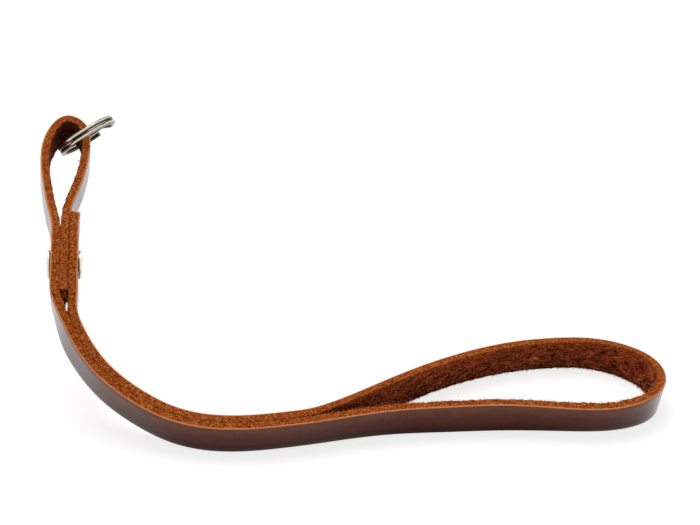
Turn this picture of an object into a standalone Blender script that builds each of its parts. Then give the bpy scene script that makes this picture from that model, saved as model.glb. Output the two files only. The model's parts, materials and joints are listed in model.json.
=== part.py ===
"""A brown leather wrist strap for a small camera, standing on its edge on a table.

One long strip of leather makes the whole strap. It starts inside the joint, runs down as the inner of two glued
layers, makes the wrist loop, comes back up as the outer layer, bends into the small eye and ends between the two
other layers. A double-cap rivet goes through the three layers, and a split ring hangs in the eye.

Metres, +Z up. The origin is on the table, under the middle of the strap.
"""

import math

import bmesh
import bpy
import numpy as np
from mathutils import Matrix, Vector

MM = 0.001
UP = Vector((0, 0, 1))

# The strip of leather
STRIP_WIDTH = 8.2 * MM
STRIP_THICKNESS = 2.1 * MM
GLUE_LINE = 0.15 * MM
EDGE_EASE = 0.2 * MM
STATION_SPACING = 2.0 * MM
MERGE_REACH = 0.02 * MM

# The joint, measured down the strap from the foot of the eye
MIDDLE_LAYER_LENGTH = 16.5 * MM
INNER_LAYER_RISE = 5.6 * MM
WEDGE_LENGTH = 8.5 * MM
RIVET_FROM_FOOT = 7.5 * MM

# The double-cap rivet
CAP_RADIUS = 3.5 * MM
CAP_RIM = 0.3 * MM
CAP_CROWN = 0.45 * MM
POST_RADIUS = 0.8 * MM
SOCKET_WALL = 0.4 * MM
SOCKET_FREE_END = 1.2 * MM
SEAT_GAP = 0.3 * MM

# The split ring
RING_OUTER_RADIUS = 7.9 * MM
WIRE_RADIAL = 1.2 * MM
WIRE_AXIAL = 1.05 * MM
TURN_GAP = 0.12 * MM
WIRE_EASE = 0.15 * MM
JOG_ANGLE = 24.0
RING_TO_LEATHER = 0.8 * MM
RING_PULL = 0.8 * MM
RING_SWING = 13.0
RING_SKEW = -26.0
RING_FROM_CROWN = 4.2 * MM

# One unit of the tables below: in plan, in height over the table, and in the eye's own plane
PLAN_UNIT = 1.0 * MM
RISE_UNIT = 1.0 * MM
EYE_UNIT = 1.0 * MM

# The glued run, from the foot of the eye down to the fork where its layers part:
# middle of the strip in plan, height of its lower corner over the table, outward lean (degrees)
RUN = (
    (-70.6, 3.2, 31.4, -5.0),
    (-69.9, -5.6, 26.5, -4.0),
    (-68.7, -14.3, 19.8, 2.0),
    (-64.8, -20.2, 13.1, 10.5),
    (-59.0, -25.4, 7.6, 15.0),
    (-49.5, -31.1, 2.8, 17.1),
    (-42.4, -34.3, 0.8, 17.5),
    (-35.2, -36.2, 0.0, 18.5),
    (-25.0, -36.7, 0.0, 20.0),
    (-13.6, -34.5, 0.0, 20.5),
)

# The wrist loop on the table, from the fork along the back leg, round the bend and back along the front leg:
# middle of the strip in plan, lean toward the inside of the loop (degrees)
LOOP = (
    (-6.6, -29.5, 10.0),
    (7.2, -18.5, 8.0),
    (26.7, -4.6, 12.5),
    (37.9, 0.1, 11.6),
    (47.5, 2.0, 11.0),
    (57.5, 1.7, 7.0),
    (64.6, -1.7, -2.0),
    (69.8, -7.7, -7.8),
    (71.5, -15.2, -10.5),
    (68.9, -23.0, -14.0),
    (60.9, -28.2, -20.0),
    (48.6, -28.9, -19.0),
    (34.9, -28.1, -13.0),
    (20.5, -28.9, -13.5),
    (7.0, -30.3, -17.0),
    (-5.2, -33.3, -20.0),
)

# The eye in its own plane, between its two legs: distance up from the foot, distance to the outer side
EYE = (
    (7.0, 3.4),
    (14.0, 4.5),
    (20.5, 5.1),
    (25.5, 4.8),
    (30.3, 3.3),
    (34.1, -0.5),
    (32.1, -3.8),
    (28.2, -4.9),
    (24.0, -4.9),
    (19.5, -4.3),
    (14.0, -3.0),
    (7.0, -0.8),
)

LAYER_PITCH = STRIP_THICKNESS + GLUE_LINE
RING_MEAN_RADIUS = RING_OUTER_RADIUS - WIRE_RADIAL / 2
RING_INNER_RADIUS = RING_OUTER_RADIUS - WIRE_RADIAL
SOCKET_BORE = POST_RADIUS + SEAT_GAP
SOCKET_RADIUS = SOCKET_BORE + SOCKET_WALL
RIVET_HOLE_RADIUS = SOCKET_RADIUS + SEAT_GAP
HALF_JOINT = 1.5 * STRIP_THICKNESS + GLUE_LINE


def clear_scene():
    for obj in list(bpy.data.objects):
        bpy.data.objects.remove(obj, do_unlink=True)


def new_collection(name):
    collection = bpy.data.collections.new(name)
    bpy.context.scene.collection.children.link(collection)
    return collection


def new_material(name, color, roughness, metallic):
    material = bpy.data.materials.new(name)
    material.use_nodes = True
    shader = material.node_tree.nodes["Principled BSDF"]
    shader.inputs["Base Color"].default_value = (*color, 1.0)
    shader.inputs["Roughness"].default_value = roughness
    shader.inputs["Metallic"].default_value = metallic
    return material


def add_object(name, bm, collection, material=None):
    mesh = bpy.data.meshes.new(name)
    bm.to_mesh(mesh)
    bm.free()
    obj = bpy.data.objects.new(name, mesh)
    if material:
        mesh.materials.append(material)
    collection.objects.link(obj)
    return obj


def smooth_curve(rows, start_slope=None, end_slope=None):
    """A cubic curve with even curvature through rows of values; returns its length and a sampler."""
    rows = np.array(rows, float)
    steps = np.linalg.norm(np.diff(rows[:, :3], axis=0), axis=1)
    knots = np.concatenate([[0.0], np.cumsum(steps)])
    count = len(rows)
    rises = np.diff(rows, axis=0) / steps[:, None]
    system = np.zeros((count, count))
    target = np.zeros_like(rows)
    for i in range(1, count - 1):
        before, after = steps[i - 1], steps[i]
        system[i, i - 1 : i + 2] = after, 2 * (before + after), before
        target[i] = 3 * (after * rises[i - 1] + before * rises[i])
    for end, inner, slope, rise in ((0, 1, start_slope, rises[0]), (count - 1, count - 2, end_slope, rises[-1])):
        system[end, end] = 2.0 if slope is None else 1.0
        system[end, inner] = 1.0 if slope is None else 0.0
        target[end] = 3 * rise if slope is None else slope
    slopes = np.linalg.solve(system, target)

    def at(distance):
        i = int(np.clip(np.searchsorted(knots, distance) - 1, 0, count - 2))
        h = steps[i]
        t = (distance - knots[i]) / h
        value = rows[i] * (1 + 2 * t) * (1 - t) ** 2 + rows[i + 1] * t**2 * (3 - 2 * t)
        return value + slopes[i] * h * t * (1 - t) ** 2 - slopes[i + 1] * h * t**2 * (1 - t)

    return knots[-1], at


def evenly(start, end, spacing=STATION_SPACING):
    return np.linspace(start, end, max(2, math.ceil(abs(end - start) / spacing) + 1))


def directions(points):
    """The direction of travel at each point of a route."""
    result = []
    for i in range(len(points)):
        ahead = points[min(i + 1, len(points) - 1)]
        behind = points[max(i - 1, 0)]
        result.append((ahead - behind).normalized())
    return result


def leaning_width(travel, lean):
    """The strip's width direction: upright, then leant by an angle toward travel x up."""
    upright = (UP - travel * travel.dot(UP)).normalized()
    side = travel.cross(upright)
    return (upright * math.cos(lean) + side * math.sin(lean)).normalized()


def layer_offset(distance):
    """How far the two outer layers lie from the middle of the run: one pitch in the joint, half a pitch below."""
    t = min(max((distance - MIDDLE_LAYER_LENGTH) / WEDGE_LENGTH, 0.0), 1.0)
    return LAYER_PITCH * (1 - 0.5 * t * (2 - t))


class Run:
    """The middle of the glued run, sampled from the foot of the eye to the fork."""

    def __init__(self):
        rows = [(x * PLAN_UNIT, y * PLAN_UNIT, rise * RISE_UNIT, math.radians(lean)) for x, y, rise, lean in RUN]
        self.length, at = smooth_curve(rows)
        self.distances = evenly(0.0, self.length)
        samples = [at(d) for d in self.distances]
        low = [Vector(s[:3]) for s in samples]
        self.points = []
        for i, travel in enumerate(directions(low)):
            width = leaning_width(travel, samples[i][3])
            half_stack = layer_offset(self.distances[i]) + STRIP_THICKNESS / 2
            lift = width.z * STRIP_WIDTH / 2 + abs(travel.cross(width).z) * half_stack
            self.points.append(low[i] + UP * lift)
        self.travels = directions(self.points)
        self.leans = [s[3] for s in samples]
        self.widths = [leaning_width(t, lean) for t, lean in zip(self.travels, self.leans)]
        self.outward = [t.cross(w) for t, w in zip(self.travels, self.widths)]

    def layer(self, side, stop=None):
        """Stations of one layer: side 1 is the outer layer, -1 the inner one, 0 the middle one."""
        stations = []
        for i, distance in enumerate(self.distances):
            if stop is None or distance <= stop:
                offset = self.outward[i] * side * layer_offset(distance)
                stations.append((self.points[i] + offset, self.widths[i]))
        return stations

    def nearest(self, distance):
        return int(np.argmin(abs(self.distances - distance)))


def loop_stations(run):
    """The wrist loop, from the inner layer at the fork round to the outer layer at the fork."""
    inner = run.layer(-1)[-1][0]
    outer = run.layer(1)[-1][0]
    lean_at_fork = run.leans[-1]
    rows = [(*inner, lean_at_fork)]
    for x, y, lean in LOOP:
        tilt = math.radians(lean)
        height = STRIP_WIDTH / 2 * math.cos(tilt) + STRIP_THICKNESS / 2 * abs(math.sin(tilt))
        rows.append((x * PLAN_UNIT, y * PLAN_UNIT, height, tilt))
    rows.append((*outer, -lean_at_fork))
    away = run.travels[-1]
    length, at = smooth_curve(rows, (*away, 0.0), (*-away, 0.0))
    samples = [at(d) for d in evenly(0.0, length)]
    points = [Vector(s[:3]) for s in samples]
    widths = [leaning_width(t, s[3]) for t, s in zip(directions(points), samples)]
    return list(zip(points, widths))


def eye_stations(run):
    """The eye, from the outer layer's foot over the crown to the middle layer's foot, all in one plane."""
    rows = [(0.0, LAYER_PITCH, 0.0)]
    rows += [(up * EYE_UNIT, out * EYE_UNIT, 0.0) for up, out in EYE]
    rows.append((0.0, 0.0, 0.0))
    length, at = smooth_curve(rows, (1.0, 0.0, 0.0), (-1.0, 0.0, 0.0))
    stations = []
    for distance in evenly(0.0, length, STATION_SPACING / 2):
        up, out, _ = at(distance)
        point = run.points[0] - run.travels[0] * up + run.outward[0] * out
        stations.append((point, run.widths[0]))
    return stations


def inner_layer_top(eye):
    """The inner layer's free end, which lies on the eye's leg above the foot."""
    leg = []
    length = 0.0
    for i in range(len(eye) - 1, 0, -1):
        step = eye[i - 1][0] - eye[i][0]
        length += step.length
        if length > INNER_LAYER_RISE:
            break
        grain_side = step.normalized().cross(eye[i][1])
        leg.insert(0, (eye[i - 1][0] + grain_side * LAYER_PITCH, eye[i][1]))
    return leg


def strip_route(run, eye):
    """Every station of the strip, from its end in the inner layer to its end in the middle layer."""
    route = inner_layer_top(eye)
    route += run.layer(-1)
    route += loop_stations(run)[1:-1]
    route += run.layer(1)[::-1]
    route += eye[1:-1]
    route += run.layer(0, MIDDLE_LAYER_LENGTH)
    return route


def add_leather_strap(route, collection, material):
    """A flat grid laid along the route, then thickened."""
    last = len(route) - 1
    bm = bmesh.new()
    bmesh.ops.create_grid(bm, x_segments=1, y_segments=last, size=1.0)
    for vert in bm.verts:
        point, width = route[round((vert.co.y + 1) / 2 * last)]
        vert.co = point + width * vert.co.x * STRIP_WIDTH / 2
    strap = add_object("leather_strap", bm, collection, material)
    solidify = strap.modifiers.new("thickness", "SOLIDIFY")
    solidify.thickness = STRIP_THICKNESS
    solidify.offset = 0.0
    solidify.use_even_offset = True
    ease = strap.modifiers.new("edge_ease", "BEVEL")
    ease.width = EDGE_EASE
    ease.segments = 1
    ease.limit_method = "ANGLE"
    ease.angle_limit = math.radians(60)
    return strap


def add_turned(name, profile, collection, material, steps=40):
    """A profile of (radius, height) points, top to bottom, turned about Z."""
    bm = bmesh.new()
    verts = [bm.verts.new((radius, 0.0, height)) for radius, height in profile]
    for a, b in zip(verts, verts[1:]):
        bm.edges.new((a, b))
    obj = add_object(name, bm, collection, material)
    screw = obj.modifiers.new("turn", "SCREW")
    screw.steps = steps
    screw.render_steps = steps
    screw.use_merge_vertices = True
    screw.merge_threshold = MERGE_REACH
    return obj


def cap_profile(seat):
    """A domed cap from its crown down to its rim's underside at the seat height."""
    points = []
    arc_steps = 7
    for i in range(arc_steps):
        turn = math.pi / 2 * i / arc_steps
        points.append((CAP_RADIUS * math.sin(turn), seat + CAP_RIM + CAP_CROWN * math.cos(turn)))
    points += [(CAP_RADIUS, seat + CAP_RIM), (CAP_RADIUS, seat)]
    return points


def add_rivet(run, strap, parts, cutters, material):
    """Two domed caps on the joint's faces, one with a post pressed into the other's socket."""
    seat = HALF_JOINT + SEAT_GAP
    post_tip = SEAT_GAP - seat
    post = cap_profile(seat) + [(POST_RADIUS, seat), (POST_RADIUS, post_tip), (0.0, post_tip)]
    socket_end = seat - SOCKET_FREE_END
    socket = cap_profile(seat)
    socket += [(SOCKET_RADIUS, seat), (SOCKET_RADIUS, -socket_end), (SOCKET_BORE, -socket_end)]
    socket += [(SOCKET_BORE, seat), (0.0, seat)]
    i = run.nearest(RIVET_FROM_FOOT)
    place = Matrix((run.widths[i], run.travels[i], run.outward[i])).transposed().to_4x4()
    place = Matrix.Translation(run.points[i]) @ place
    turned_over = Matrix.Rotation(math.pi, 4, "X")
    rivet_post = add_turned("rivet_post", post, parts, material)
    rivet_post.matrix_world = place
    rivet_cap = add_turned("rivet_cap", socket, parts, material)
    rivet_cap.matrix_world = place @ turned_over
    bm = bmesh.new()
    bmesh.ops.create_cone(
        bm,
        cap_ends=True,
        segments=32,
        radius1=RIVET_HOLE_RADIUS,
        radius2=RIVET_HOLE_RADIUS,
        depth=4 * HALF_JOINT,
    )
    drill = add_object("rivet_drill", bm, cutters)
    drill.matrix_world = place
    drill.hide_render = True
    drill.display_type = "WIRE"
    hole = strap.modifiers.new("rivet_hole", "BOOLEAN")
    hole.operation = "DIFFERENCE"
    hole.object = drill
    return [rivet_post, rivet_cap, drill]


def ring_mesh():
    """Two turns of flat wire about Z, with a jog between them."""
    pitch = WIRE_AXIAL + TURN_GAP
    jog = math.radians(JOG_ANGLE)
    flat = 2 * math.pi - 1.5 * jog
    flat_steps = 44
    jog_steps = 4
    bm = bmesh.new()
    corners = [(-WIRE_RADIAL / 2, -WIRE_AXIAL / 2), (WIRE_RADIAL / 2, -WIRE_AXIAL / 2)]
    corners += [(WIRE_RADIAL / 2, WIRE_AXIAL / 2), (-WIRE_RADIAL / 2, WIRE_AXIAL / 2)]
    start = [bm.verts.new((RING_MEAN_RADIUS + r, 0, z - pitch / 2)) for r, z in corners]
    bm.faces.new(start)
    bmesh.ops.bevel(
        bm,
        geom=start,
        offset=WIRE_EASE,
        offset_type="OFFSET",
        segments=1,
        profile=0.5,
        affect="VERTICES",
        material=-1,
    )
    end = list(bm.faces) + list(bm.edges) + list(bm.verts)
    stretches = ((flat, flat_steps, 0.0), (jog, jog_steps, pitch / jog_steps), (flat, flat_steps, 0.0))
    for angle, steps, climb in stretches:
        result = bmesh.ops.spin(
            bm,
            geom=end,
            cent=(0, 0, 0),
            axis=(0, 0, 1),
            dvec=(0, 0, climb),
            angle=angle,
            steps=steps,
        )
        end = result["geom_last"]
    bmesh.ops.recalc_face_normals(bm, faces=list(bm.faces))
    return bm


def ring_place(eye):
    """Where the ring hangs: round the eye's shoulder, with the strip's lower edge resting just off its inside.

    The ring's own X points away from the eye, its Y lies along the strip's width, and it turns about its Z.
    """
    points = [station[0] for station in eye]
    foot = points[0]
    i = max(range(len(eye)), key=lambda k: (points[k] - foot).dot(points[1] - foot))
    walked = 0.0
    while walked < RING_FROM_CROWN:
        walked += (points[i + 1] - points[i]).length
        i += 1
    width = eye[i][1]
    travel = directions(points)[i]
    grain = width.cross(travel)
    swing = math.radians(RING_SWING)
    skew = math.radians(RING_SKEW)
    axis = travel * math.cos(swing) + grain * math.sin(swing)
    axis = (axis * math.cos(skew) + width * math.sin(skew)).normalized()
    across = axis.cross(grain).normalized()
    across *= math.copysign(1.0, across.dot(width))
    outward = across.cross(axis)
    half_width = STRIP_WIDTH / 2 / across.dot(width)
    strip_reach = RING_PULL + STRIP_THICKNESS / 2 / outward.dot(grain)
    hang = math.sqrt((RING_INNER_RADIUS - RING_TO_LEATHER) ** 2 - strip_reach**2) - half_width
    turn = Matrix((outward, across, outward.cross(across))).transposed().to_4x4()
    return Matrix.Translation(points[i] + outward * RING_PULL + across * hang) @ turn


def add_split_ring(eye, parts, material):
    ring = add_object("split_ring", ring_mesh(), parts, material)
    ring.matrix_world = ring_place(eye)
    ring.data.shade_smooth()
    ring.data.set_sharp_from_angle(angle=math.radians(30))
    return ring


def stand_over_origin(pieces, parts):
    """Moves the strap so that the origin is on the table under the middle of its box."""
    bpy.context.view_layer.update()
    graph = bpy.context.evaluated_depsgraph_get()
    corners = []
    for obj in parts.objects:
        solid = obj.evaluated_get(graph)
        mesh = solid.to_mesh()
        corners += [solid.matrix_world @ v.co for v in mesh.vertices]
        solid.to_mesh_clear()
    low = [min(c[i] for c in corners) for i in range(3)]
    high = [max(c[i] for c in corners) for i in range(3)]
    shift = Vector(((low[0] + high[0]) / 2, (low[1] + high[1]) / 2, low[2]))
    for obj in pieces:
        obj.matrix_world = Matrix.Translation(-shift) @ obj.matrix_world


def main():
    clear_scene()
    parts = new_collection("leather_wrist_strap")
    cutters = new_collection("cutters")
    leather = new_material("brown_leather", (0.13, 0.045, 0.03), 0.5, 0.0)
    nickel = new_material("nickel_plate", (0.72, 0.68, 0.6), 0.2, 1.0)
    run = Run()
    eye = eye_stations(run)
    strap = add_leather_strap(strip_route(run, eye), parts, leather)
    rivet = add_rivet(run, strap, parts, cutters, nickel)
    ring = add_split_ring(eye, parts, nickel)
    stand_over_origin([strap, ring, *rivet], parts)


main()
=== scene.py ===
"""Dresses the leather wrist strap: the strip with its raw cut edges, the rivet, the split ring, floor and light."""

import json
import math
import random

import bmesh
import bpy
import numpy as np
from mathutils import Matrix, Vector, noise


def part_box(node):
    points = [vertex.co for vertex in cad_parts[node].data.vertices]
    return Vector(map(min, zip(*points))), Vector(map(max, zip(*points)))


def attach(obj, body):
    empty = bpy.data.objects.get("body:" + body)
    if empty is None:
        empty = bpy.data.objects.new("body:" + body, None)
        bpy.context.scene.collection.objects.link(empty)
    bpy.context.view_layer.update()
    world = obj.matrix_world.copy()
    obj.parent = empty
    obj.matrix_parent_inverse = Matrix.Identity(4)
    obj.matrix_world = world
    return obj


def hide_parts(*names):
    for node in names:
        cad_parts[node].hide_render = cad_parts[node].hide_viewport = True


MM = 0.001
UP = Vector((0, 0, 1))

# The strip and how it is laid, as in the solids
STRIP_WIDTH = 8.2 * MM
STRIP_THICKNESS = 2.1 * MM
GLUE_LINE = 0.15 * MM
STATION_SPACING = 2.0 * MM
MIDDLE_LAYER_LENGTH = 16.5 * MM
INNER_LAYER_RISE = 5.6 * MM
WEDGE_LENGTH = 8.5 * MM
RIVET_FROM_FOOT = 7.5 * MM
LAYER_PITCH = STRIP_THICKNESS + GLUE_LINE
HALF_JOINT = 1.5 * STRIP_THICKNESS + GLUE_LINE

# The strip's finer shape: corners rounded on the grain side and sharp on the flesh side, raw sides roughened
FINE_SPACING = 0.42 * MM
GRAIN_CORNER = 0.28 * MM
FLESH_CORNER = 0.07 * MM
CUT_ROUGHNESS = 0.13 * MM
FLESH_ROUGHNESS = 0.12 * MM
COARSE_LUMPS = 1.1 * MM
FINE_LUMPS = 0.5 * MM
CUTS_ACROSS_EDGE = 7
CUTS_ACROSS_GRAIN = 5
CUTS_ACROSS_FLESH = 17

# The loose fibres: how thick, how long and how many on each raw side
FIBRE_RADIUS = 0.065 * MM
FIBRE_LENGTH = 0.45 * MM
STRAND_LENGTH = 1.7 * MM
WEDGE_FIBRE_LENGTH = 2.1 * MM
FIBRE_CURL = 5.0
FIBRE_TIP = 0.35
FIBRE_SEED = 11
LENGTH_SPREAD = (0.45, 1.25)
RADIUS_SPREAD = (0.7, 1.4)
FLESH_FIBRES = 2200
EDGE_FIBRES = 3400
CUT_FIBRES = 900
WEDGE_FIBRES = 110

# Where their roots lie: just inside the skin, at these shares of the whole width and thickness
ROOT_ACROSS = 0.49
ROOT_DEPTH = 0.48
FLESH_SPREAD = 0.85

# Where the fibres are worn off, glued down or fewer
FIBRES_CLEAR_OF_RING = 10.5 * MM
FIBRES_CLEAR_OF_FORK = 15.0 * MM
GLUED_DOWN = 0.02
EYE_FOOT_HEIGHT = 34.0 * MM
EYE_FIBRES_LEFT_OUT = 0.88

# How far from the fork the leather is darkened with painted shade and some dirt; how near the ring's centre the eye is
# darkened with painted shade fully, and at all
FORK_SHADE = 28.0 * MM
RING_SHADE_FULL = 6.0 * MM
RING_SHADE_REACH = 13.0 * MM

# The rivet caps
CAP_RADIUS = 3.5 * MM
CAP_RIM = 0.3 * MM
CAP_CROWN = 0.45 * MM
CAP_CURL = 0.18 * MM
CAP_DOME_STEPS = 12
CAP_TURN_STEPS = 72
CAP_MERGE_REACH = 0.002 * MM
SEAT_GAP = 0.3 * MM
NECK_RADIUS = 1.6 * MM

# The split ring's wire
RING_OUTER_RADIUS = 7.9 * MM
WIRE_RADIAL = 1.2 * MM
WIRE_AXIAL = 1.05 * MM
TURN_GAP = 0.12 * MM
WIRE_ROUND = 0.4 * MM
WIRE_ROUND_STEPS = 5
JOG_ANGLE = 24.0
JOG_STEPS = 10
TURN_STEPS = 120

# The photograph's camera: its place in the route's own frame, lens and sensor (mm), tilt from straight down (degrees)
CAMERA_PLACE = (-2.0, -420.6, 236.6)
CAMERA_TILT = 63.85
CAMERA_LENS = 100.29
CAMERA_SENSOR = 36.0

# The floor (m): white where it lights the strap; where it is seen, darker with a glow, which keeps its shadows pale
FLOOR_SIDE = 6.0
FLOOR_LIGHTING = (0.7, 0.7, 0.695)
FLOOR_SEEN = (0.31, 0.31, 0.308)
FLOOR_GLOW = 0.75

# The light all round, and the lamp: its strength, its width and its turns about X and Y (degrees)
SKY_LIGHTING = 0.6
SKY_SEEN = 1.0
LAMP_STRENGTH = 1.3
LAMP_WIDTH = 35.0
LAMP_TURNS = (-14.0, -8.0)

# The glued run: middle of the strip in plan (mm), height of its lower corner (mm), outward lean (degrees)
RUN = (
    (-70.6, 3.2, 31.4, -5.0),
    (-69.9, -5.6, 26.5, -4.0),
    (-68.7, -14.3, 19.8, 2.0),
    (-64.8, -20.2, 13.1, 10.5),
    (-59.0, -25.4, 7.6, 15.0),
    (-49.5, -31.1, 2.8, 17.1),
    (-42.4, -34.3, 0.8, 17.5),
    (-35.2, -36.2, 0.0, 18.5),
    (-25.0, -36.7, 0.0, 20.0),
    (-13.6, -34.5, 0.0, 20.5),
)

# The wrist loop on the table: middle of the strip in plan (mm), lean toward the inside of the loop (degrees)
LOOP = (
    (-6.6, -29.5, 10.0),
    (7.2, -18.5, 8.0),
    (26.7, -4.6, 12.5),
    (37.9, 0.1, 11.6),
    (47.5, 2.0, 11.0),
    (57.5, 1.7, 7.0),
    (64.6, -1.7, -2.0),
    (69.8, -7.7, -7.8),
    (71.5, -15.2, -10.5),
    (68.9, -23.0, -14.0),
    (60.9, -28.2, -20.0),
    (48.6, -28.9, -19.0),
    (34.9, -28.1, -13.0),
    (20.5, -28.9, -13.5),
    (7.0, -30.3, -17.0),
    (-5.2, -33.3, -20.0),
)

# The eye in its own plane: distance up from the foot, distance to the outer side (mm)
EYE = (
    (7.0, 3.4),
    (14.0, 4.5),
    (20.5, 5.1),
    (25.5, 4.8),
    (30.3, 3.3),
    (34.1, -0.5),
    (32.1, -3.8),
    (28.2, -4.9),
    (24.0, -4.9),
    (19.5, -4.3),
    (14.0, -3.0),
    (7.0, -0.8),
)


def smooth_curve(rows, start_slope=None, end_slope=None):
    """A cubic curve with even curvature through rows of values; returns its length and a sampler."""
    rows = np.array(rows, float)
    steps = np.linalg.norm(np.diff(rows[:, :3], axis=0), axis=1)
    knots = np.concatenate([[0.0], np.cumsum(steps)])
    count = len(rows)
    rises = np.diff(rows, axis=0) / steps[:, None]
    system = np.zeros((count, count))
    target = np.zeros_like(rows)
    for i in range(1, count - 1):
        before, after = steps[i - 1], steps[i]
        system[i, i - 1 : i + 2] = after, 2 * (before + after), before
        target[i] = 3 * (after * rises[i - 1] + before * rises[i])
    for end, inner, slope, rise in ((0, 1, start_slope, rises[0]), (count - 1, count - 2, end_slope, rises[-1])):
        system[end, end] = 2.0 if slope is None else 1.0
        system[end, inner] = 1.0 if slope is None else 0.0
        target[end] = 3 * rise if slope is None else slope
    slopes = np.linalg.solve(system, target)

    def at(distance):
        i = int(np.clip(np.searchsorted(knots, distance) - 1, 0, count - 2))
        h = steps[i]
        t = (distance - knots[i]) / h
        value = rows[i] * (1 + 2 * t) * (1 - t) ** 2 + rows[i + 1] * t**2 * (3 - 2 * t)
        return value + slopes[i] * h * t * (1 - t) ** 2 - slopes[i + 1] * h * t**2 * (1 - t)

    return knots[-1], at


def clamped(value):
    """The value, kept between 0 and 1."""
    return min(max(value, 0.0), 1.0)


def evenly(start, end, spacing=STATION_SPACING):
    """Distances from start to end in even steps of the spacing or less."""
    return np.linspace(start, end, max(2, math.ceil(abs(end - start) / spacing) + 1))


def directions(points):
    """The direction of travel at each point of a route."""
    result = []
    for i in range(len(points)):
        ahead = points[min(i + 1, len(points) - 1)]
        behind = points[max(i - 1, 0)]
        result.append((ahead - behind).normalized())
    return result


def leaning_width(travel, lean):
    """The strip's width direction: upright, then leant by an angle toward travel x up."""
    upright = (UP - travel * travel.dot(UP)).normalized()
    side = travel.cross(upright)
    return (upright * math.cos(lean) + side * math.sin(lean)).normalized()


def layer_offset(distance):
    """How far the two outer layers lie from the middle of the run: one pitch in the joint, half a pitch below."""
    t = clamped((distance - MIDDLE_LAYER_LENGTH) / WEDGE_LENGTH)
    return LAYER_PITCH * (1 - 0.5 * t * (2 - t))


class Run:
    """The middle of the glued run, sampled from the foot of the eye to the fork."""

    def __init__(self):
        rows = [(x * MM, y * MM, rise * MM, math.radians(lean)) for x, y, rise, lean in RUN]
        self.length, at = smooth_curve(rows)
        self.distances = evenly(0.0, self.length)
        samples = [at(d) for d in self.distances]
        low = [Vector(s[:3]) for s in samples]
        self.points = []
        for i, travel in enumerate(directions(low)):
            width = leaning_width(travel, samples[i][3])
            half_stack = layer_offset(self.distances[i]) + STRIP_THICKNESS / 2
            lift = width.z * STRIP_WIDTH / 2 + abs(travel.cross(width).z) * half_stack
            self.points.append(low[i] + UP * lift)
        self.travels = directions(self.points)
        self.leans = [s[3] for s in samples]
        self.widths = [leaning_width(t, lean) for t, lean in zip(self.travels, self.leans)]
        self.outward = [t.cross(w) for t, w in zip(self.travels, self.widths)]

    def layer(self, side, stop=None):
        """Stations of one layer: side 1 is the outer layer, -1 the inner one, 0 the middle one."""
        stations = []
        for i, distance in enumerate(self.distances):
            if stop is None or distance <= stop:
                offset = self.outward[i] * side * layer_offset(distance)
                stations.append((self.points[i] + offset, self.widths[i]))
        return stations

    def nearest(self, distance):
        return int(np.argmin(abs(self.distances - distance)))


def loop_stations(run):
    """The wrist loop, from the inner layer at the fork round to the outer layer at the fork."""
    inner = run.layer(-1)[-1][0]
    outer = run.layer(1)[-1][0]
    lean_at_fork = run.leans[-1]
    rows = [(*inner, lean_at_fork)]
    for x, y, lean in LOOP:
        tilt = math.radians(lean)
        height = STRIP_WIDTH / 2 * math.cos(tilt) + STRIP_THICKNESS / 2 * abs(math.sin(tilt))
        rows.append((x * MM, y * MM, height, tilt))
    rows.append((*outer, -lean_at_fork))
    away = run.travels[-1]
    length, at = smooth_curve(rows, (*away, 0.0), (*-away, 0.0))
    samples = [at(d) for d in evenly(0.0, length)]
    points = [Vector(s[:3]) for s in samples]
    widths = [leaning_width(t, s[3]) for t, s in zip(directions(points), samples)]
    return list(zip(points, widths))


def eye_stations(run):
    """The eye, from the outer layer's foot over the crown to the middle layer's foot, all in one plane."""
    rows = [(0.0, LAYER_PITCH, 0.0)]
    rows += [(up * MM, out * MM, 0.0) for up, out in EYE]
    rows.append((0.0, 0.0, 0.0))
    length, at = smooth_curve(rows, (1.0, 0.0, 0.0), (-1.0, 0.0, 0.0))
    stations = []
    for distance in evenly(0.0, length, STATION_SPACING / 2):
        up, out, _ = at(distance)
        point = run.points[0] - run.travels[0] * up + run.outward[0] * out
        stations.append((point, run.widths[0]))
    return stations


def inner_layer_top(eye):
    """The inner layer's free end, which lies on the eye's leg above the foot."""
    leg = []
    length = 0.0
    for i in range(len(eye) - 1, 0, -1):
        step = eye[i - 1][0] - eye[i][0]
        length += step.length
        if length > INNER_LAYER_RISE:
            break
        grain_side = step.normalized().cross(eye[i][1])
        leg.insert(0, (eye[i - 1][0] + grain_side * LAYER_PITCH, eye[i][1]))
    return leg


def strip_route(run, eye):
    """Every station of the strip, from its end in the inner layer to its end in the middle layer.

    Each has its share of the glue line to fill on the flesh side, and whether its grain side is glued over.
    """
    shares = [1.0 if d <= MIDDLE_LAYER_LENGTH else 0.5 for d in run.distances]
    covered = len(inner_layer_top(eye))
    route = [(*station, 1.0, 0.0) for station in inner_layer_top(eye)]
    route += [(*station, share, 0.0) for station, share in zip(run.layer(-1), shares)]
    route += [(*station, 0.0, 0.0) for station in loop_stations(run)[1:-1]]
    route += [(*station, share, 0.0) for station, share in zip(run.layer(1), shares)][::-1]
    route += [(*station, 0.0, 0.0) for station in eye[1:-covered]]
    route += [(*station, 0.0, 1.0) for station in eye[-covered:-1]]
    route += [(*station, 0.0, 1.0) for station in run.layer(0, MIDDLE_LAYER_LENGTH)]
    return route


def fine_route(route):
    """The same route with many more stations: points, width and grain directions, glue and cover."""
    rows = [(*point, *width, glue, cover) for point, width, glue, cover in route]
    length, at = smooth_curve(rows)
    samples = [at(d) for d in evenly(0.0, length, FINE_SPACING)]
    points = [Vector(s[:3]) for s in samples]
    stations = []
    for point, travel, sample in zip(points, directions(points), samples):
        width = Vector(sample[3:6])
        width = (width - travel * travel.dot(width)).normalized()
        glue, cover = np.clip(sample[6:8], 0.0, 1.0)
        stations.append((point, width, width.cross(travel), glue, cover))
    return stations


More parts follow.
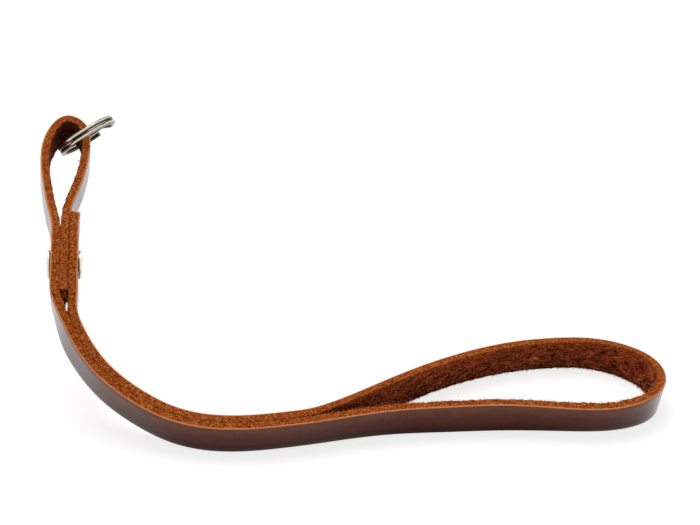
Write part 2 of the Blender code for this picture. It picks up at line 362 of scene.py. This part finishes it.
def finished(name, bm, body, material, nodes=()):
    """Makes a piece of a bmesh, puts its finish on and lets it ride on its body."""
    mesh = bpy.data.meshes.new(name)
    bm.to_mesh(mesh)
    bm.free()
    mesh.materials.append(material)
    mesh.shade_smooth()
    piece = bpy.data.objects.new(name, mesh)
    bpy.context.scene.collection.objects.link(piece)
    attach(piece, body)
    if nodes:
        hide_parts(*nodes)
    return piece


def rectangle(bm, width, depth):
    """A flat rectangle about the origin."""
    bmesh.ops.create_grid(bm, x_segments=1, y_segments=1, size=0.5)
    bmesh.ops.scale(bm, vec=(width, depth, 1.0), verts=bm.verts)


def round_corners(bm, corners, radius, steps):
    """Rounds corners of a flat face."""
    bmesh.ops.bevel(
        bm,
        geom=corners,
        offset=radius,
        offset_type="OFFSET",
        segments=steps,
        profile=0.5,
        affect="VERTICES",
        material=-1,
    )


def strip_section(bm):
    """The strip's cross-section as one face, each corner carrying its share of the width and of the thickness."""
    across = bm.verts.layers.float.new("across")
    depth = bm.verts.layers.float.new("depth")
    rectangle(bm, STRIP_WIDTH, STRIP_THICKNESS)
    grain_corners = [v for v in bm.verts if v.co.y > 0]
    flesh_corners = [v for v in bm.verts if v.co.y < 0]
    round_corners(bm, grain_corners, GRAIN_CORNER, steps=4)
    round_corners(bm, flesh_corners, FLESH_CORNER, steps=2)
    long_edges = [e for e in bm.edges if e.calc_length() > GRAIN_CORNER]
    for edge in long_edges:
        middle = (edge.verts[0].co + edge.verts[1].co) / 2
        cuts = CUTS_ACROSS_EDGE
        if abs(middle.x) < STRIP_WIDTH / 4:
            cuts = CUTS_ACROSS_GRAIN if middle.y > 0 else CUTS_ACROSS_FLESH
        bmesh.ops.subdivide_edges(bm, edges=[edge], cuts=cuts)
    for vert in bm.verts:
        vert[across] = vert.co.x / (STRIP_WIDTH / 2)
        vert[depth] = vert.co.y / (STRIP_THICKNESS / 2)
    return across, depth


def strip_mesh(stations, fork):
    """The strip's cross-section, extruded from station to station and roughened on its raw sides.

    The leather's finish reads each vertex's shares of the width (across) and thickness (depth), its distance along
    the strip, whether it is glued or glued over (covered), and how near it is to the fork.
    """
    bm = bmesh.new()
    across, depth = strip_section(bm)
    along = bm.verts.layers.float.new("along")
    glued = bm.verts.layers.float.new("glued")
    near_fork = bm.verts.layers.float.new("near_fork")
    covered = bm.verts.layers.float.new("covered")
    travelled = 0.0
    edges = list(bm.edges)
    for i, (point, width, grain, glue, cover) in enumerate(stations):
        if i:
            travelled += (point - stations[i - 1][0]).length
            grown = bmesh.ops.extrude_edge_only(bm, edges=edges)["geom"]
            edges = [g for g in grown if isinstance(g, bmesh.types.BMEdge)]
        for vert in {v for e in edges for v in e.verts}:
            side = width * vert[across] * STRIP_WIDTH / 2
            filled = GLUE_LINE * glue * clamped(-2 * vert[depth] - 1)
            vert.co = point + side + grain * (vert[depth] * STRIP_THICKNESS / 2 - filled)
            vert[along] = travelled
            vert[glued] = glue
            vert[near_fork] = max(0.0, 1 - (point - fork).length / FORK_SHADE)
            vert[covered] = 1.0 if i == len(stations) - 1 else cover
    bmesh.ops.contextual_create(bm, geom=edges)
    bmesh.ops.recalc_face_normals(bm, faces=list(bm.faces))
    bm.normal_update()
    roughen(bm, across, depth)
    return bm


def roughen(bm, across, depth):
    """Pulls the raw sides about a little, and most at the flesh corners; the grain side stays smooth."""
    moves = []
    for vert in bm.verts:
        cut = clamped((abs(vert[across]) - 0.96) / 0.04)
        raw = clamped((0.8 - vert[depth]) / 0.5)
        flesh = clamped((-vert[depth] - 0.7) / 0.25)
        reach = CUT_ROUGHNESS * cut * raw + FLESH_ROUGHNESS * flesh
        coarse = noise.noise(vert.co / COARSE_LUMPS)
        fine = noise.noise(vert.co / FINE_LUMPS)
        moves.append(vert.normal * reach * (0.7 * coarse + 0.7 * fine))
    for vert, move in zip(bm.verts, moves):
        vert.co += move


class Value:
    """A node's output that stands in sums: each sum adds its Math node."""

    def __init__(self, nodes, socket):
        self.nodes = nodes
        self.socket = socket

    def __add__(self, other):
        return self.nodes.math("ADD", self, other)

    def __radd__(self, other):
        return self.nodes.math("ADD", other, self)

    def __sub__(self, other):
        return self.nodes.math("SUBTRACT", self, other)

    def __rsub__(self, other):
        return self.nodes.math("SUBTRACT", other, self)

    def __mul__(self, other):
        return self.nodes.math("MULTIPLY", self, other)

    def __rmul__(self, other):
        return self.nodes.math("MULTIPLY", other, self)


class Nodes:
    """Short names for the nodes of one tree."""

    def __init__(self, tree):
        self.tree = tree

    def add(self, kind, settings, inputs, output=0):
        node = self.tree.nodes.new(kind)
        for key, value in settings.items():
            setattr(node, key, value)
        for key, value in inputs.items():
            self.plug(node.inputs[key], value)
        return Value(self, node.outputs[output])

    def plug(self, socket, value):
        if isinstance(value, Value):
            self.tree.links.new(value.socket, socket)
        elif isinstance(value, tuple) and len(value) == 3 and socket.type == "RGBA":
            socket.default_value = (*value, 1.0)
        else:
            socket.default_value = value

    def math(self, operation, *values):
        return self.add("ShaderNodeMath", {"operation": operation}, dict(enumerate(values)))

    def place(self):
        return self.add("ShaderNodeTexCoord", {}, {}, "Object")

    def share(self, name):
        """A value that the mesh carries at each vertex."""
        return self.add("ShaderNodeAttribute", {"attribute_name": name}, {}, "Fac")

    def noise(self, place, size, detail=3.0, roughness=0.55, swirl=0.0):
        inputs = {"Vector": place, "Scale": 1.0 / size, "Detail": detail, "Roughness": roughness, "Distortion": swirl}
        return self.add("ShaderNodeTexNoise", {}, inputs, "Fac")

    def pair(self, first, second):
        return self.add("ShaderNodeCombineXYZ", {}, {"X": first, "Y": second})

    def distance(self, place, point):
        return self.add("ShaderNodeVectorMath", {"operation": "DISTANCE"}, {0: place, 1: point}, "Value")

    def magnitude(self, value):
        return self.math("ABSOLUTE", value)

    def rays(self, kind):
        """1 for rays of the kind, and 0 for the others."""
        return self.add("ShaderNodeLightPath", {}, {}, kind)

    def seen(self):
        """1 for what the camera sees, itself or mirrored, and 0 for what only lights the strap."""
        return self.math("MAXIMUM", self.rays("Is Camera Ray"), self.rays("Is Glossy Ray"))

    def facing(self):
        """0 where the surface is seen square on, 1 along it."""
        return self.add("ShaderNodeLayerWeight", {}, {"Blend": 0.5}, "Facing")

    def cells(self, place, size, feature="F1"):
        inputs = {"Vector": place, "Scale": 1.0 / size}
        return self.add("ShaderNodeTexVoronoi", {"feature": feature}, inputs, "Distance")

    def ease(self, value, start, end):
        """0 before start, 1 past end, and smooth between them."""
        inputs = {"Value": value, "From Min": start, "From Max": end}
        return self.add("ShaderNodeMapRange", {"interpolation_type": "SMOOTHSTEP"}, inputs)

    def blend(self, share, first, second):
        """A colour between two colours."""
        return self.add("ShaderNodeMix", {"data_type": "RGBA"}, {0: share, 6: first, 7: second}, 2)

    def bump(self, height, distance, strength=1.0):
        inputs = {"Height": height, "Distance": distance, "Strength": strength}
        return self.add("ShaderNodeBump", {}, inputs)


class Finish(Nodes):
    """A material and the nodes that its finish is made of."""

    def __init__(self, name):
        self.material = bpy.data.materials.new(name)
        self.material.use_nodes = True
        super().__init__(self.material.node_tree)
        self.shader = self.tree.nodes["Principled BSDF"]

    def set(self, **sockets):
        """Sets the shader's sockets, each by its name with _ for a space."""
        for name, value in sockets.items():
            self.plug(self.shader.inputs[name.replace("_", " ")], value)
        return self.material


def paint(red, green, blue):
    """A colour picked on a screen, as the light it stands for."""
    levels = [c / 255 for c in (red, green, blue)]
    return tuple(c / 12.92 if c <= 0.04045 else ((c + 0.055) / 1.055) ** 2.4 for c in levels)


def brown_leather(ring_centre):
    """Smooth brown grain outside, with painted light and shade across it; raw tan on the cut edges; dark fibrous flesh
    inside, with painted shade near the fork and the ring.
    """
    leather = Finish("brown_leather")
    place = leather.place()
    depth = leather.share("depth")
    across = leather.share("across")
    covered = leather.share("covered")

    # Patterns, from the largest clouds to single fibres and pores
    mottle = leather.noise(place, 6.0 * MM, 4.0)
    cloud = leather.noise(place, 2.0 * MM, 3.0)
    fleck = leather.noise(place, 0.7 * MM, 3.0, 0.65)
    fibre = leather.noise(place, 0.3 * MM, 2.0, 0.6)
    flow = leather.pair(leather.share("along") * 0.22, across * (STRIP_WIDTH / 2))
    streak = leather.noise(flow, 0.7 * MM, 4.0, 0.6, 1.2)
    strand = leather.noise(flow, 1.1 * MM, 2.0, 0.5, 2.5)
    pore = leather.cells(place, 0.35 * MM)
    crease = leather.cells(place, 1.1 * MM, "DISTANCE_TO_EDGE")
    hair = leather.ease(leather.magnitude(strand - 0.5), 0.045, 0.0)

    # Where each side of the strip is
    grain = leather.ease(depth, 0.74, 0.93)
    flesh = leather.ease(depth + (fleck - 0.5) * 0.4, -0.8, -1.02)
    shoulder = leather.ease(across + (fleck - 0.5) * 1.1, 0.5, 1.0)
    painted_eye_shade = leather.ease(leather.distance(place, ring_centre), RING_SHADE_REACH, RING_SHADE_FULL)
    rim = leather.ease(leather.magnitude(across), 0.925, 0.965)

    # Grain: its dye, with painted light and shade that make it paler toward the upper edge and darker toward the lower
    # one
    lift = across + (mottle - 0.5) * 0.7
    dye_and_painted_light = leather.blend(leather.ease(lift, -1.0, -0.1), paint(42, 6, 0), paint(88, 42, 31))
    dye_and_painted_light = leather.blend(leather.ease(lift, -0.2, 1.1), dye_and_painted_light, paint(120, 76, 60))
    dye_and_painted_light = leather.blend(leather.ease(cloud, 0.5, 0.75) * 0.35, dye_and_painted_light, paint(66, 28, 20))

    # Raw cut edges
    raw = leather.blend(leather.ease(fleck, 0.38, 0.62), paint(112, 43, 3), paint(176, 90, 20))
    raw = leather.blend(leather.ease(fibre, 0.55, 0.68) * 0.85, raw, paint(228, 148, 90))
    raw = leather.blend(leather.ease(fibre, 0.44, 0.32) * 0.9, raw, paint(66, 24, 2))
    raw = leather.blend(leather.ease(cloud, 0.48, 0.62) * 0.4, raw, paint(146, 52, 14))

    # Flesh side with its pale strands, with painted shade and some dirt near the fork, and painted shade inside the eye
    # near the ring
    suede = leather.blend(leather.ease(streak + across * 0.06, 0.44, 0.57), paint(50, 6, 4), paint(142, 44, 18))
    suede = leather.blend(leather.ease(mottle, 0.48, 0.6) * 0.6, suede, paint(62, 7, 8))
    suede = leather.blend(leather.ease(fibre, 0.42, 0.3) * 0.7, suede, paint(36, 5, 2))
    suede = leather.blend(hair * leather.ease(cloud, 0.36, 0.56), suede, paint(222, 122, 66))
    # Painted shade, with some dirt, deep in the fork and fading away from it
    shade = leather.ease(leather.share("near_fork") - across * 0.1, 0.0, 0.75)
    suede = leather.blend(shade * 0.9, suede, paint(30, 5, 5))
    suede = leather.blend(shoulder * 0.85, suede, raw)
    # Painted shade inside the eye, near the ring
    suede = leather.blend(painted_eye_shade * 0.75, suede, paint(26, 7, 5))

    # All sides together, with the worn grain corner and the glue's dark line
    worn = leather.ease(depth, 0.58, 0.76) * rim * leather.ease(depth, 1.02, 0.9) * (1 - covered)
    color = leather.blend(flesh, raw, suede)
    color = leather.blend(grain * (1 - covered * rim), color, dye_and_painted_light)
    color = leather.blend(worn * (0.5 + 0.5 * fleck), color, paint(232, 150, 104))
    seam = leather.ease(depth, -0.84, -0.96) * rim * leather.share("glued") * leather.ease(cloud, 0.42, 0.55)
    color = leather.blend(seam * 0.65, color, paint(38, 12, 4))

    # Relief
    skin = leather.ease(pore, 0.0, 0.5) * 0.3 + leather.ease(crease, 0.0, 0.12) * 0.15
    nap = fibre * 0.9 + fleck * 0.8 + hair * flesh * 0.5
    height = skin * grain + nap * (1 - grain)
    sheen = leather.ease(leather.facing(), 0.32, 0.75)
    return leather.set(
        Base_Color=color,
        Roughness=0.95 - grain * (0.5 - 0.16 * mottle),
        Specular_IOR_Level=0.1,
        Coat_Weight=grain * (0.04 + 0.96 * sheen),
        Coat_Roughness=0.22,
        Coat_IOR=1.7,
        Normal=leather.bump(height, 0.1 * MM, 0.7),
    )


def leather_fibre():
    """Loose fibres, dark brown in patches and tan one by one."""
    hair = Finish("leather_fibre")
    place = hair.place()
    patch = hair.noise(place, 1.3 * MM, 2.0)
    single = hair.noise(place, 0.3 * MM, 2.0, 0.7)
    color = hair.blend(hair.ease(patch, 0.35, 0.65), paint(88, 22, 9), paint(166, 68, 28))
    color = hair.blend(hair.ease(single, 0.42, 0.62), color, paint(236, 150, 90))
    return hair.set(Base_Color=color, Roughness=0.9, Specular_IOR_Level=0.1)


def nickel_plate(name, grooved=False):
    """Bright plate with dull specks; if grooved, polishing lines too, painted shade, partly tarnished, between the
    turns and inside the ring, and painted dark reflections on the outer flanks.
    """
    nickel = Finish(name)
    place = nickel.place()
    cloud = nickel.noise(place, 2.2 * MM, 3.0)
    speck = nickel.noise(place, 0.25 * MM, 2.0)
    dirt = nickel.ease(cloud, 0.5, 0.8) * nickel.ease(speck, 0.45, 0.7)
    color = nickel.blend(cloud, paint(214, 206, 188), paint(250, 244, 228))
    color = nickel.blend(dirt * 0.7, color, paint(110, 92, 66))
    if grooved:
        lane = nickel.share("lane")
        reach = nickel.share("reach") + (cloud - 0.5) * 0.4
        lines = nickel.noise(nickel.pair(lane * 0.5, reach * 0.3), 0.05, 2.0)
        # Painted shade, with some tarnish, in the groove between the turns
        groove_shade = nickel.ease(lane, 0.52, 0.34)
        # Painted dark reflections along the outer flanks of the turns
        painted_flank_reflection = nickel.ease(lane + (lines - 0.5) * 0.3, 0.62, 0.8)
        # Painted shade, with some tarnish, toward the inside of the ring
        inside = nickel.ease(reach, 0.5, -0.2)
        tarnish_and_painted_shade = nickel.blend(speck, paint(38, 30, 16), paint(96, 84, 58))
        color = nickel.blend(nickel.ease(lines, 0.5, 0.62) * 0.6, color, paint(122, 108, 78))
        color = nickel.blend(painted_flank_reflection * 0.8, color, paint(104, 92, 64))
        color = nickel.blend(nickel.math("MAXIMUM", groove_shade * 0.95, inside * 0.9), color, tarnish_and_painted_shade)
    return nickel.set(
        Base_Color=color,
        Roughness=0.16 + cloud * 0.14 + dirt * 0.25,
        Metallic=1.0,
        Normal=nickel.bump(speck, 0.02 * MM, 0.35),
    )


def fibre_mesh():
    """One loose fibre, a thin three-sided spike of length 1 that curls over toward its tip."""
    bm = bmesh.new()
    bmesh.ops.create_cone(bm, cap_ends=True, segments=3, radius1=1.0, radius2=FIBRE_TIP, depth=1.0)
    bmesh.ops.translate(bm, vec=(0, 0, 0.5), verts=bm.verts)
    long_edges = [e for e in bm.edges if abs(e.verts[0].co.z - e.verts[1].co.z) > 0.5]
    bmesh.ops.subdivide_edges(bm, edges=long_edges, cuts=1)
    for vert in bm.verts:
        vert.co.x += FIBRE_CURL * vert.co.z**2
    mesh = bpy.data.meshes.new("fibre")
    bm.to_mesh(mesh)
    bm.free()
    return mesh


def lay_fibre(fibre, root, way, spin, radius, length):
    """Moves a fibre from rest to its root, turned along its way, and lifts it where it would reach under the floor."""
    turn = way.to_track_quat("Z", "X").to_matrix().to_4x4() @ spin
    fibre.transform(Matrix.Translation(root) @ turn @ Matrix.Diagonal((radius, radius, length, 1)))
    lowest = min(vert.co.z for vert in fibre.vertices)
    if lowest < 0:
        fibre.transform(Matrix.Translation((0, 0, -lowest)))


def fibres_mesh(stations, shift, fork, ring_centre):
    """Loose fibres on the flesh side, along its corners, on the cut edges and at the strip's end in the wedge."""
    chance = random.Random(FIBRE_SEED)
    fibre = fibre_mesh()
    rest = np.zeros(len(fibre.vertices) * 3)
    fibre.vertices.foreach_get("co", rest)
    bm = bmesh.new()
    last = len(stations) - 1
    kinds = (
        ("flesh", FLESH_FIBRES, STRAND_LENGTH, 0.0, 0.3),
        ("edge", EDGE_FIBRES, FIBRE_LENGTH, 1.0, 0.8),
        ("cut", CUT_FIBRES, FIBRE_LENGTH, 1.0, 0.0),
        ("end", WEDGE_FIBRES, WEDGE_FIBRE_LENGTH, 0.0, 0.0),
    )
    for kind, count, usual_length, lean_out, lean_up in kinds:
        for _ in range(count):
            i = last if kind == "end" else chance.randrange(1, last)
            point, width, grain, glue, _ = stations[i]
            side = chance.choice((-1, 1))
            across = side if kind in ("edge", "cut") else chance.uniform(-FLESH_SPREAD, FLESH_SPREAD)
            depth = chance.uniform(-1, 0.5) if kind in ("cut", "end") else -1
            root = point + width * across * STRIP_WIDTH * ROOT_ACROSS + grain * depth * STRIP_THICKNESS * ROOT_DEPTH
            travel = grain.cross(width)
            way = width * (side * lean_out + chance.gauss(0, 0.35)) - grain * lean_up
            way += travel * (chance.gauss(1.4, 0.4) if kind == "end" else chance.gauss(0, 1.2))
            length = usual_length * chance.uniform(*LENGTH_SPREAD)
            radius = FIBRE_RADIUS * chance.uniform(*RADIUS_SPREAD)
            spin = Matrix.Rotation(chance.uniform(0, 2 * math.pi), 4, "Z")
            at_fork = (point - fork).length < FIBRES_CLEAR_OF_FORK
            hidden = kind == "flesh" and (glue > GLUED_DOWN or at_fork)
            at_ring = (root + shift - ring_centre).length < FIBRES_CLEAR_OF_RING
            thinned = root.z > EYE_FOOT_HEIGHT and chance.random() < EYE_FIBRES_LEFT_OUT
            if hidden or at_ring or thinned:
                continue
            fibre.vertices.foreach_set("co", rest)
            lay_fibre(fibre, root + shift, way, spin, radius, length)
            bm.from_mesh(fibre)
    bpy.data.meshes.remove(fibre)
    return bm


def turned(bm):
    """Turns every edge of an outline about Z into a closed skin."""
    bmesh.ops.spin(
        bm,
        geom=list(bm.edges) + list(bm.verts),
        cent=(0, 0, 0),
        axis=(0, 0, 1),
        angle=2 * math.pi,
        steps=CAP_TURN_STEPS,
        use_merge=True,
    )
    bmesh.ops.remove_doubles(bm, verts=list(bm.verts), dist=CAP_MERGE_REACH)
    bmesh.ops.recalc_face_normals(bm, faces=list(bm.faces))


def outline(bm, points):
    """A chain of edges through points given as radius and height."""
    verts = [bm.verts.new((radius, 0.0, height)) for radius, height in points]
    for a, b in zip(verts, verts[1:]):
        bm.edges.new((a, b))


def rivet_cap_mesh(place):
    """A domed cap whose rim curls down onto the leather, on a neck that goes into it."""
    seat = HALF_JOINT + SEAT_GAP
    points = [(0.0, seat + CAP_RIM + CAP_CROWN)]
    for i in range(1, CAP_DOME_STEPS + 1):
        turn = math.pi / 2 * i / CAP_DOME_STEPS
        height = seat + CAP_RIM + CAP_CROWN * math.cos(turn) ** 0.85
        points.append(((CAP_RADIUS - 0.06 * MM) * math.sin(turn), height))
    points += [
        (CAP_RADIUS, seat + CAP_RIM * 0.6),
        (CAP_RADIUS, seat + CAP_RIM * 0.1),
        (CAP_RADIUS - 0.08 * MM, seat - CAP_CURL),
        (CAP_RADIUS - 0.3 * MM, seat - CAP_CURL - 0.03 * MM),
        (CAP_RADIUS - 0.55 * MM, seat),
        (NECK_RADIUS + 0.2 * MM, seat),
        (NECK_RADIUS, seat - 0.1 * MM),
        (NECK_RADIUS, seat - 2 * SEAT_GAP),
        (0.0, seat - 2 * SEAT_GAP),
    ]
    bm = bmesh.new()
    outline(bm, points)
    turned(bm)
    bmesh.ops.transform(bm, matrix=place, verts=list(bm.verts))
    return bm


def ring_mesh(place):
    """Two turns of rounded flat wire with a jog between them.

    The plate's finish reads how far a vertex is from the gap between the turns (lane) and from the wire's middle
    toward the outside of the ring (reach).
    """
    pitch = WIRE_AXIAL + TURN_GAP
    jog = math.radians(JOG_ANGLE)
    # Each turn stops one and a half jogs short of a full circle, which leaves its end half a jog clear of the jog
    flat = 2 * math.pi - 1.5 * jog
    bm = bmesh.new()
    lane = bm.verts.layers.float.new("lane")
    reach = bm.verts.layers.float.new("reach")
    rectangle(bm, WIRE_RADIAL, WIRE_AXIAL)
    bmesh.ops.rotate(bm, cent=(0, 0, 0), matrix=Matrix.Rotation(math.pi / 2, 3, "X"), verts=bm.verts)
    middle = Vector((RING_OUTER_RADIUS - WIRE_RADIAL / 2, 0, -pitch / 2))
    bmesh.ops.translate(bm, vec=middle, verts=bm.verts)
    round_corners(bm, list(bm.verts), WIRE_ROUND, WIRE_ROUND_STEPS)
    end = list(bm.faces) + list(bm.edges) + list(bm.verts)
    flat_turn = (flat, TURN_STEPS, 0.0)
    climbing_jog = (jog, JOG_STEPS, pitch / JOG_STEPS)
    for angle, steps, climb in (flat_turn, climbing_jog, flat_turn):
        turn = bmesh.ops.spin(
            bm,
            geom=end,
            cent=(0, 0, 0),
            axis=(0, 0, 1),
            dvec=(0, 0, climb),
            angle=angle,
            steps=steps,
        )
        end = turn["geom_last"]
    bmesh.ops.recalc_face_normals(bm, faces=list(bm.faces))
    for vert in bm.verts:
        vert[lane] = abs(vert.co.z) / (WIRE_AXIAL + TURN_GAP / 2)
        vert[reach] = (vert.co.xy.length - middle.x) / (WIRE_RADIAL / 2)
    bmesh.ops.transform(bm, matrix=place, verts=list(bm.verts))
    return bm


def ring_place(record):
    """The ring's own axes and centre, from its joint and the lug it hooks through."""
    joint = next(j for j in record["behaviour"]["joints"] if j["name"] == "ring_turn")
    lug = next(m for m in record["mounts"] if m["name"] == "camera_lug")
    axis = Vector(joint["axis"]).normalized()
    outward = Vector(lug["axis"])
    outward = (outward - axis * axis.dot(outward)).normalized()
    turn = Matrix((outward, axis.cross(outward), axis)).transposed().to_4x4()
    return Matrix.Translation(Vector(joint["pos_m"])) @ turn


def lift_onto_node(piece, node):
    """Moves a piece's mesh so that its box has the node's middle in plan and its lowest height; returns the move."""
    low, high = (Vector(corner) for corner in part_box(node))
    corners = np.array([v.co for v in piece.data.vertices])
    middle = Vector((corners.min(axis=0) + corners.max(axis=0)) / 2)
    shift = (low + high) / 2 - middle
    shift.z = low.z - float(corners[:, 2].min())
    piece.data.transform(Matrix.Translation(shift))
    return shift


def build_strap():
    """Builds every piece and returns how far the route was moved to lie on the solids."""
    run = Run()
    eye = eye_stations(run)
    nickel = nickel_plate("nickel_plate")
    hang = ring_place(frame["record"])
    leather = brown_leather(hang.translation)
    stations = fine_route(strip_route(run, eye))
    fork = run.points[-1]
    strap = finished("leather_strip", strip_mesh(stations, fork), "strap", leather, ["leather_strap"])
    shift = lift_onto_node(strap, "leather_strap")
    fibres = fibres_mesh(stations, shift, fork, hang.translation)
    finished("leather_fibres", fibres, "strap", leather_fibre())
    i = run.nearest(RIVET_FROM_FOOT)
    place = Matrix((run.widths[i], run.travels[i], run.outward[i])).transposed().to_4x4()
    place = Matrix.Translation(run.points[i] + shift) @ place
    turned_over = place @ Matrix.Rotation(math.pi, 4, "X")
    finished("rivet_outer_cap", rivet_cap_mesh(place), "strap", nickel, ["rivet_post"])
    finished("rivet_inner_cap", rivet_cap_mesh(turned_over), "strap", nickel, ["rivet_cap"])
    ring_nickel = nickel_plate("ring_nickel", grooved=True)
    finished("ring_wire", ring_mesh(hang), "ring", ring_nickel, ["split_ring"])
    return shift


def set_stage():
    """A plain white floor and a soft, nearly even studio light."""
    bm = bmesh.new()
    rectangle(bm, FLOOR_SIDE, FLOOR_SIDE)
    mesh = bpy.data.meshes.new("floor")
    bm.to_mesh(mesh)
    bm.free()
    floor = bpy.data.objects.new("floor", mesh)
    bpy.context.scene.collection.objects.link(floor)
    paper = Finish("white_paper")
    seen = paper.seen()
    paper.set(
        Base_Color=paper.blend(seen, FLOOR_LIGHTING, FLOOR_SEEN),
        Roughness=0.9,
        Specular_IOR_Level=0.0,
        Emission_Color=(1.0, 1.0, 0.995),
        Emission_Strength=seen * FLOOR_GLOW,
    )
    mesh.materials.append(paper.material)

    world = bpy.data.worlds.new("studio")
    world.use_nodes = True
    bpy.context.scene.world = world
    sky = Nodes(world.node_tree)
    background = sky.tree.nodes["Background"]
    level = sky.add("ShaderNodeMapRange", {}, {"Value": sky.seen(), "To Min": SKY_LIGHTING, "To Max": SKY_SEEN})
    sky.plug(background.inputs["Color"], (1.0, 1.0, 1.0))
    sky.plug(background.inputs["Strength"], level)

    lamp = bpy.data.lights.new("softbox", "SUN")
    lamp.energy = LAMP_STRENGTH
    lamp.angle = math.radians(LAMP_WIDTH)
    softbox = bpy.data.objects.new("softbox", lamp)
    softbox.rotation_euler = (*(math.radians(turn) for turn in LAMP_TURNS), 0)
    bpy.context.scene.collection.objects.link(softbox)


def set_camera(shift):
    """The photograph's view."""
    data = bpy.data.cameras.new("camera")
    data.sensor_width = CAMERA_SENSOR
    data.lens = CAMERA_LENS
    data.clip_start = 0.01
    camera = bpy.data.objects.new("camera", data)
    camera.location = Vector(CAMERA_PLACE) * MM + shift
    camera.rotation_euler = (math.radians(CAMERA_TILT), 0, 0)
    bpy.context.scene.collection.objects.link(camera)
    bpy.context.scene.camera = camera


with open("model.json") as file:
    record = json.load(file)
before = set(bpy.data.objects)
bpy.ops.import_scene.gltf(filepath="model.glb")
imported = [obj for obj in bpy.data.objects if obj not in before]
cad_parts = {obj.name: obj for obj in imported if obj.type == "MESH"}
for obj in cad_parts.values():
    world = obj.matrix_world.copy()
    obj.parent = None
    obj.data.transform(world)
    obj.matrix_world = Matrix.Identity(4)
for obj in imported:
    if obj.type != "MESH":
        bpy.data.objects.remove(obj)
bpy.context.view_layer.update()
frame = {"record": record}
bpy.context.scene.view_settings.view_transform = "Standard"
set_stage()
set_camera(build_strap())
